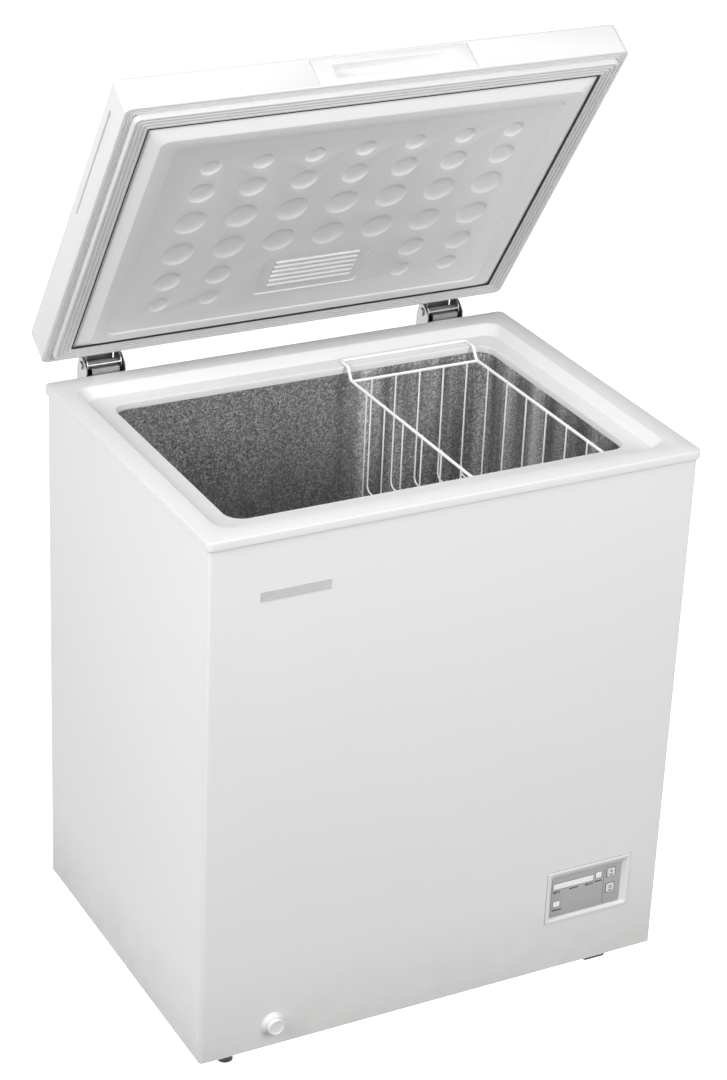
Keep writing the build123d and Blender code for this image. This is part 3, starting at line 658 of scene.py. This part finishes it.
panelShape = {
    "centre": (0, 0.25), "flange": (321.9, 228.65), "plateau": (302.5, 211.25), "field": (282.0, 194.25),
    "back": 805.8, "flangeZ": 795.5, "face": 783.2, "recess": 1.6, "rear": 264.0,
    "pitch": 73.0, "depth": 2.8,
    "rows": [(409.5, 29, 7), (358.5, 38, 7), (298.0, 46, 7), (232.0, 46, 7), (171.5, 39, 4), (120.5, 29, 4)],
    "grille": (158.0, 77.0, 149.0, 1.5), "ribs": 6, "rib": (126.0, 4.6, 127.0, 10.0),
}


def dimpleCutter(diameter):
    # a shallow lens with a short collar below it
    half, depth = diameter / 2, panelShape["depth"]
    profile = [(half * r, depth * (1 - r ** 4)) for r in (0, 0.3, 0.5, 0.65, 0.78, 0.88, 0.95, 1)]
    return turned("dimple", profile + [(half, -1.0), (0, -1.0)], (0, 0, 0), (0, 0, 1), 44)


def lidPanel():
    shape = panelShape
    floor = shape["face"] + shape["recess"]
    fieldX, fieldY = shape["field"]
    rings = [
        (*shape["flange"], shape["back"], 6),
        (*shape["flange"], shape["flangeZ"], 6),
        (*shape["plateau"], shape["face"], 12),
        (fieldX, fieldY, shape["face"], 10, 1.5),
        (fieldX - 1.4, fieldY - 1.4, floor, 9, 1.5),
    ]
    piece = ringLoft("lid_inner_panel", rings, shape["centre"], 12, capFirst=True, capLast=True)
    lenses = []
    for distance, diameter, count in shape["rows"]:
        lens = dimpleCutter(diameter)
        columns = range(-3, 4) if count == 7 else (-3, -2, 2, 3)
        lenses += [copyMoved(lens, (c * shape["pitch"], shape["rear"] - distance, floor)) for c in columns]
        bpy.data.objects.remove(lens)
    cutAway(piece, joined(lenses))
    wide, deep, distance, sink = shape["grille"]
    gy = shape["rear"] - distance
    low, high = (-wide / 2, gy - deep / 2, floor - 1), (wide / 2, gy + deep / 2, floor + sink)
    field = newBox("grille_field", low, high)
    roundUprights(field, 9)
    cutAway(piece, field)
    softEdges(piece, 0.8, 2, 9)
    long, thick, first, step = shape["rib"]
    ry = shape["rear"] - first
    low, high = (2 - long / 2, ry - thick / 2, floor - 0.9), (2 + long / 2, ry + thick / 2, floor + sink + 1)
    rib = newBox("rib", low, high)
    roundUprights(rib, 2.2)
    softEdges(rib, 0.7, 3, 40)
    ribs = [rib] + [copyMoved(rib, (0, -step * k, 0)) for k in range(1, shape["ribs"])]
    piece = joined([piece] + ribs)
    openLid(piece)
    return putOn(piece, "lid", finishes["panel_plastic"], ["lid_panel"], 20)


sealShape = {
    "outer": (344.0, 251.25), "low": 791.4, "high": 799.9, "inner": 22.0,
    "groove": 1.9, "ribs": 4, "pitch": 5.5,
    # the last entry places a dark ring of painted shadow in the gap at the seal's inner edge
    "joint": (21.9, 23.0, 0.2, 3.0),
}


def lidSeal():
    # bellows section: four soft ribs between narrow grooves, carried round the lid
    outX, outY = sealShape["outer"]
    low, groove = sealShape["low"], sealShape["groove"]
    section = [(0, sealShape["high"]), (0, low + groove)]
    for k in range(sealShape["ribs"]):
        start = sealShape["pitch"] * k
        section += [(start + 0.5, low + 0.5), (start + 1.2, low)]
        section += [(start + 3.8, low), (start + 4.6, low + 0.5)]
        if k < sealShape["ribs"] - 1:
            section.append((start + 5.0, low + groove))
    section += [(sealShape["inner"], low + groove), (sealShape["inner"], sealShape["high"])]
    rings = [(outX - inset, outY - inset, z, max(9 - inset * 0.32, 2)) for inset, z in section]
    piece = ringLoft("lid_seal", rings, panelShape["centre"], 6, closed=True)
    openLid(piece)
    putOn(piece, "lid", finishes["gasket"], ["lid_gasket"], 40)
    # painted shadow: a dark ring put in the gap where the seal meets the panel
    start, end, near, far = sealShape["joint"]
    section = [(start, low + near), (end, low + near), (end, low + far), (start, low + far)]
    rings = [(outX - inset, outY - inset, z, 2) for inset, z in section]
    joint = ringLoft("seal_shadow_gap", rings, panelShape["centre"], 6, closed=True)
    openLid(joint)
    return putOn(joint, "lid", finishes["print"])


handleShape = {
    "low": (-95.0, -262.6, 801.7), "high": (131.0, -246.5, 842.5),
    "pocket": (168.0, 22.0), "deep": 13.0, "taper": (0.95, 1, 0.77), "taperAbove": 3.0, "edge": 1.6,
}


def lidHandle():
    low, high = handleShape["low"], handleShape["high"]
    pocketX, pocketZ = handleShape["pocket"]
    middle = Vector([(a + b) / 2 for a, b in zip(low, high)]) * mm
    middle.y = low[1] * mm
    piece = newBox("handle_plate", low, high)
    edit(piece)
    pick("FACE", lambda f: f.normal.y < -0.9)
    edge = (high[2] - low[2] - pocketZ) / 2
    bpy.ops.mesh.inset(thickness=edge * mm)
    ratio = pocketX / (high[0] - low[0] - 2 * edge)
    bpy.ops.transform.resize(value=(ratio, 1, 1), center_override=middle)
    bpy.ops.mesh.extrude_region_move(TRANSFORM_OT_translate={"value": (0, handleShape["deep"] * mm, 0)})
    above = middle + Vector((0, 0, handleShape["taperAbove"] * mm))
    bpy.ops.transform.resize(value=handleShape["taper"], center_override=above)
    bpy.ops.object.mode_set(mode="OBJECT")
    softEdges(piece, handleShape["edge"], 4, 20)
    openLid(piece)
    return putOn(piece, "lid", finishes["white_plastic"], ["lid_handle"])


lidPan()
lidTrim()
lidPanel()
lidSeal()
lidHandle()
print("lid panel, seal and handle made")


controls = {
    "bezel": (67.0, 41.5), "mouth": (63.0, 37.5), "centre": (239.0, 138.5), "front": 262.1,
    # the width after the skin is that of a grey line of painted shadow round the bezel
    "skin": -260.5, "joint": 0.9,
    "fascia": ((183.2, -255.5, 101.7), (295.8, -253.0, 165.3)), "fasciaHalf": (56.5, 32.0), "drop": -5.0,
    "windows": {
        "scale_window": (185.1, 250.4, 146.6, 155.9),
        "super_window": (254.1, 263.4, 148.6, 157.9),
        "running_window": (186.6, 197.4, 118.1, 126.9),
    },
    "windowY": (-256.0, -254.6),
    "buttons": {"set_button": 153.0, "power_button": 127.5}, "buttonX": 279.0, "buttonHalf": (6.1, 6.6),
    "buttonY": (-256.9, -252.2), "dish": 1.5, "dishDepth": 0.35,
}


def bezel():
    outX, outZ = controls["bezel"]
    mouthX, mouthZ = controls["mouth"]
    inX, inZ = controls["fasciaHalf"]
    front, drop = controls["front"], controls["drop"]
    rings = [
        (outX, outZ, front - 1.5, 3),
        (outX, outZ, front - 0.3, 3),
        (outX - 1.5, outZ - 1.5, front, 2.6),
        (mouthX, mouthZ, front - 0.2, 3),
        (inX, inZ, front - 6.5, 2, drop),
        (inX, inZ, front - 9.8, 2, drop),
        (outX - 3.6, outZ - 3.6, front - 9.8, 2),
        (outX - 3.6, outZ - 3.6, front - 1.5, 2),
    ]
    piece = ringLoft("control_bezel_frame", rings, controls["centre"], 5, closed=True)
    tipForward(piece)
    softEdges(piece, 0.5, 2, 25)
    return putOn(piece, "cabinet", finishes["white_plastic"], ["control_bezel"])


def fasciaParts():
    low, high = controls["fascia"]
    plate = newBox("fascia_plate", low, high)
    softEdges(plate, 0.25, 2)
    putOn(plate, "cabinet", finishes["fascia"], ["control_fascia"])
    windowFront, windowBack = controls["windowY"]
    for name, (x0, x1, z0, z1) in controls["windows"].items():
        lens = newBox(name + "_lens", (x0, windowFront, z0), (x1, windowBack, z1))
        softEdges(lens, 0.5, 3)
        putOn(lens, "cabinet", finishes["clear"], [name])
    halfX, halfZ = controls["buttonHalf"]
    x = controls["buttonX"]
    front, back = controls["buttonY"]
    for name, z in controls["buttons"].items():
        cap = newBox(name + "_cap", (x - halfX, front, z - halfZ), (x + halfX, back, z + halfZ))
        edit(cap)
        pick("FACE", lambda f: f.normal.y < -0.9)
        bpy.ops.mesh.inset(thickness=controls["dish"] * mm)
        bpy.ops.transform.translate(value=(0, controls["dishDepth"] * mm, 0))
        bpy.ops.object.mode_set(mode="OBJECT")
        softEdges(cap, 0.7, 3, 15)
        putOn(cap, name, finishes["white_plastic"], [name])


# words are (x, z), dashes and the divider are (x0, x1, z0, z1); all stand a hair proud of the fascia
labels = {
    "face": -255.52, "keyFace": -256.53, "thick": 0.06, "size": 6.2, "line": 0.7, "keyLine": 0.9,
    "words": {"MIN": (191.0, 140.2), "MAX": (244.0, 140.2)},
    "dashes": [(211.5, 226.0, 141.8, 143.8), (253.0, 264.5, 142.4, 144.6), (185.5, 200.5, 111.6, 113.8)],
    "divider": (267.5, 268.1, 105.5, 161.5),
}


def mark(text, x, z, size, y):
    # flat lettering that faces the front
    letGo()
    bpy.ops.object.text_add(location=(x * mm, y * mm, z * mm), rotation=(math.radians(90), 0, 0))
    letters = bpy.context.object
    letters.data.body = text
    letters.data.size = size * mm
    letters.data.extrude = 0.03 * mm
    letters.data.offset = 0.12 * mm
    letters.data.align_x = "CENTER"
    bpy.ops.object.convert(target="MESH")
    bpy.ops.object.transform_apply(location=True, rotation=True, scale=True)
    return bpy.context.object


def flatMark(name, x0, x1, z0, z1, y):
    piece = newBox(name, (x0, y - labels["thick"], z0), (x1, y, z1))
    softEdges(piece, 0.02, 1)
    return piece


def outline(name, x0, x1, z0, z1, y, line):
    # a printed line of the given width round a rectangle
    halfX, halfZ, low, high = (x1 - x0) / 2, (z1 - z0) / 2, -y, -y + labels["thick"]
    rings = [
        (halfX + line, halfZ + line, low, 1.3),
        (halfX + line, halfZ + line, high, 1.3),
        (halfX, halfZ, high, 0.8),
        (halfX, halfZ, low, 0.8),
    ]
    piece = ringLoft(name, rings, ((x0 + x1) / 2, (z0 + z1) / 2), 3, closed=True)
    tipForward(piece)
    return piece


def printing():
    face = labels["face"]
    made = [mark(word, x, z, labels["size"], face) for word, (x, z) in labels["words"].items()]
    made += [flatMark("dash", *place, face) for place in labels["dashes"]]
    made += [outline("outline", *place, face, labels["line"]) for place in controls["windows"].values()]
    made.append(flatMark("divider", *labels["divider"], face))
    halfX, halfZ = (half + 0.5 for half in controls["buttonHalf"])
    x = controls["buttonX"]
    for z in controls["buttons"].values():
        place = (x - halfX, x + halfX, z - halfZ, z + halfZ)
        made.append(outline("outline", *place, face, labels["keyLine"]))
    piece = joined(made)
    piece.name = "fascia_printing"
    putOn(piece, "cabinet", finishes["print"])
    # painted shadow: a grey line in the gap where the bezel meets the skin
    (cx, cz), (outX, outZ) = controls["centre"], controls["bezel"]
    place = (cx - outX, cx + outX, cz - outZ, cz + outZ)
    gap = outline("bezel_shadow_gap", *place, controls["skin"], controls["joint"])
    putOn(gap, "cabinet", finishes["fascia"])


def buttonMarks():
    # a drop over a bar on the upper key, a broken ring over a bar on the lower one
    x, face = controls["buttonX"], labels["keyFace"]
    upper, lower = controls["buttons"]["set_button"], controls["buttons"]["power_button"]
    letGo()
    place = Vector((x, face, upper + 2.2)) * mm
    bpy.ops.mesh.primitive_cone_add(vertices=3, radius1=2.6 * mm, radius2=2.2 * mm, depth=0.12 * mm,
                                    location=place, rotation=(math.radians(90), 0, 0))
    drop = bpy.context.object
    bpy.ops.object.transform_apply(location=True, rotation=True, scale=True)
    first = joined([drop, flatMark("bar", x - 3.2, x + 3.2, upper - 4.2, upper - 2.6, face)])
    first.name = "set_key_mark"
    putOn(first, "set_button", finishes["print"])
    section = [(1.6, 0), (2.4, 0), (2.4, 0.06), (1.6, 0.06), (1.6, 0)]
    ring = turned("ring", section, (x, face, lower + 1.6), (0, -1, 0), 24)
    stroke = flatMark("bar", x - 0.4, x + 0.4, lower + 1.8, lower + 4.4, face - 0.02)
    bar = flatMark("bar", x - 3.2, x + 3.2, lower - 4.6, lower - 3.0, face)
    second = joined([ring, stroke, bar])
    second.name = "power_key_mark"
    putOn(second, "power_button", finishes["print"])


bezel()
fasciaParts()
printing()
buttonMarks()
print("control panel made")


# profiles are (radius, distance outwards) from the hole in the wall or floor
drain = {
    "x": -246.0, "front": -260.5, "z": 56.0, "plugY": -150.0, "floor": 80.0,
    "collar": [(7.2, -0.2), (17.0, 0.1), (16.9, 0.8), (15.4, 2.2), (14.3, 4.2), (13.7, 6.6), (13.3, 7.0),
               (12.7, 7.0), (12.6, 3.3), (7.3, 3.3), (7.2, -0.2)],
    "cap": [(0, -10.3), (6.0, -10.3), (6.7, -9.4), (6.7, 3.7), (12.0, 3.7), (12.4, 4.1), (12.3, 9.6),
            (11.9, 11.3), (11.0, 12.4), (10.2, 12.7), (9.4, 11.9), (8.8, 11.3), (3.0, 11.0), (0, 11.0)],
    "plug": [(0, -2.5), (6.7, -2.5), (6.7, 0.4), (12.0, 0.4), (12.0, 3.0), (10.8, 4.2), (5.0, 4.6),
             (4.0, 5.6), (3.8, 9.6), (4.4, 11.2), (3.6, 12.6), (0, 12.8)],
}


def drainParts():
    centre = (drain["x"], drain["front"], drain["z"])
    piece = turned("drain_collar", drain["collar"], centre, (0, -1, 0), 56)
    putOn(piece, "cabinet", finishes["white_plastic"], ["drain_spout"], 35)
    piece = turned("drain_cap_knob", drain["cap"], centre, (0, -1, 0), 56)
    putOn(piece, "drain_cap", finishes["white_plastic"], ["drain_cap"], 35)
    hole = (drain["x"], drain["plugY"], drain["floor"])
    piece = turned("floor_plug_knob", drain["plug"], hole, (0, 0, 1), 40)
    putOn(piece, "floor_plug", finishes["white_plastic"], ["floor_plug"], 35)


badgeShape = {"low": (-281.0, -261.5, 696.0), "high": (-184.0, -260.6, 709.0), "border": 1.2, "sink": 0.25}


def badge():
    # a blank strip with a raised border
    piece = newBox("badge_strip", badgeShape["low"], badgeShape["high"])
    edit(piece)
    pick("FACE", lambda f: f.normal.y < -0.9)
    bpy.ops.mesh.inset(thickness=badgeShape["border"] * mm)
    bpy.ops.transform.translate(value=(0, badgeShape["sink"] * mm, 0))
    bpy.ops.object.mode_set(mode="OBJECT")
    softEdges(piece, 0.25, 2)
    putOn(piece, "cabinet", finishes["bright"], ["badge_plate"])


footShape = {
    "places": {"foot_front_right": (274, -225), "foot_rear_left": (-290, 225), "foot_rear_right": (290, 225)},
    "rings": [(16.5, 15.5, 0.0, 4), (17.5, 16.5, 1.2, 4), (19.0, 17.6, 9.0, 4),
              (21.0, 19.6, 17.0, 5), (21.3, 19.8, 19.9, 5)],
}


def feet():
    for name, place in footShape["places"].items():
        piece = ringLoft(name + "_pad", footShape["rings"], place, 5, capFirst=True, capLast=True)
        softEdges(piece, 0.4, 2, 35)
        putOn(piece, "cabinet", finishes["black_plastic"], [name])


drainParts()
badge()
feet()
print("drain, badge and feet made")


basket = {
    "x": (65.0, 265.0), "front": -170.0, "rear": 170.0, "z": 763.0, "floor": 590.0,
    "hook": (174.0, 184.0, 207.0, 780.05), "frame": 2.25, "wire": 1.25, "gap": 0.05,
    "frameBend": 5, "wireBend": 10, "above": 0.6,
    "lengthways": [94.0, 132.0, 170.0, 208.0, 246.0], "across": [-133.25 + 53.3 * k for k in range(6)],
}


def basketWires():
    x0, x1 = basket["x"]
    front, rear, z, floor = basket["front"], basket["rear"], basket["z"], basket["floor"]
    foot, rise, back, top = basket["hook"]
    thick, thin = basket["frame"], basket["wire"]
    path = [(x0, front, z), (x0, foot, z), (x0, rise, top), (x0, back, top),
            (x1, back, top), (x1, rise, top), (x1, foot, z), (x1, front, z)]
    frameWire = bentWire("basket_frame_wire", path, basket["frameBend"], thick, loop=True)
    rearBar = bentWire("rear_bar", [(x0, rear, z), (x1, rear, z)], 1, thick)
    piece = joined([frameWire, rearBar])
    putOn(piece, "basket", finishes["coated_wire"], ["basket_frame"], 60)
    clear = basket["gap"]
    gap, end = thick + thin + clear, z + basket["above"]
    loops = []
    for x in basket["lengthways"]:
        low = floor + thin + clear
        path = [(x, front + gap, end), (x, front + gap, low), (x, rear - gap, low), (x, rear - gap, end)]
        loops.append(bentWire("loop", path, basket["wireBend"], thin))
    for y in basket["across"]:
        low = floor - thin - clear
        path = [(x0 + gap, y, end), (x0 + gap, y, low), (x1 - gap, y, low), (x1 - gap, y, end)]
        loops.append(bentWire("loop", path, basket["wireBend"], thin))
    piece = joined(loops)
    piece.name = "basket_loop_wires"
    putOn(piece, "basket", finishes["coated_wire"], ["basket_wires"], 60)


basketWires()
print("basket bent from wire")


# solids whose shape is right already: they only need smooth shading
copies = [
    ("outer_wrapper", "wrapper_sheet", "cabinet", "white_paint"),
    ("inner_liner", "liner_sheet", "cabinet", "embossed"),
]


def smoothCopies():
    for nodeName, name, body, slotName in copies:
        piece = copyNode(nodeName, name)
        putOn(piece, body, finishes[slotName], [nodeName])


smoothCopies()
print("smooth copies placed")


# each lamp is (place, what it points at, size, watts)
stage = {
    "floor": 0.92, "floorSize": 24, "glow": 0.95, "sky": 0.18,
    "lamps": {
        "overhead": ((0.3, -0.9, 3.6), (0, 0, 0.6), (3.0, 3.0), 28.0),
        "left": ((-2.6, -0.7, 2.1), (0, 0, 0.7), (1.8, 1.8), 70.0),
        "front": ((0.7, -2.7, 2.1), (0, 0, 0.7), (1.8, 1.8), 60.0),
    },
}
viewer = {
    "place": (-1.653, -3.031, 2.315), "lens": 94.67,
    "elevation": 26.31, "azimuth": -28.62, "roll": 2.57, "sensor": 36,
}


def paleFloor():
    letGo()
    bpy.ops.mesh.primitive_plane_add(size=stage["floorSize"], location=(0, 0, 0))
    floor = bpy.context.object
    floor.name = "floor"
    ground = Finish("pale_floor", Emission_Color=(1, 1, 1, 1), Emission_Strength=stage["glow"])
    cloud = ground.noise(1.5, 4)
    tone = stage["floor"]
    colour = ground.mixed(cloud, grey(tone - 0.01), grey(tone + 0.01))
    floor.data.materials.append(ground.feed(Base_Color=colour, Roughness=0.6 + cloud * 0.1))
    floor.visible_diffuse = False      # keeps the white floor from lighting the lower walls


def softLight(name, place, target, size, power):
    letGo()
    bpy.ops.object.light_add(type="AREA", location=place)
    lamp = bpy.context.object
    lamp.name = name
    lamp.data.shape = "RECTANGLE"
    lamp.data.size, lamp.data.size_y = size
    lamp.data.energy = power
    lamp.rotation_mode = "QUATERNION"
    lamp.rotation_quaternion = (Vector(target) - Vector(place)).to_track_quat("-Z", "Y")


def studio():
    world = bpy.data.worlds.new("studio_sky")
    world.use_nodes = True
    sky = world.node_tree.nodes["Background"]
    sky.inputs["Color"].default_value = (1, 1, 1, 1)
    sky.inputs["Strength"].default_value = stage["sky"]
    bpy.context.scene.world = world
    for name, lamp in stage["lamps"].items():
        softLight(name, *lamp)
    bpy.context.scene.view_settings.view_transform = "Standard"


def lookFrom():
    up, turn, roll = (math.radians(viewer[key]) for key in ("elevation", "azimuth", "roll"))
    back = Vector((math.sin(turn) * math.cos(up), -math.cos(turn) * math.cos(up), math.sin(up)))
    right = (-back).cross(Vector((0, 0, 1))).normalized()
    above = right.cross(-back)
    across = right * math.cos(roll) + above * math.sin(roll)
    upward = above * math.cos(roll) - right * math.sin(roll)
    bpy.ops.object.camera_add(location=viewer["place"])
    camera = bpy.context.object
    facing = Matrix((across, upward, back)).transposed().to_4x4()
    camera.matrix_world = Matrix.Translation(viewer["place"]) @ facing
    camera.data.lens = viewer["lens"]
    camera.data.sensor_width = viewer["sensor"]
    bpy.context.scene.camera = camera


paleFloor()
studio()
lookFrom()
print("stage, lights and camera set")
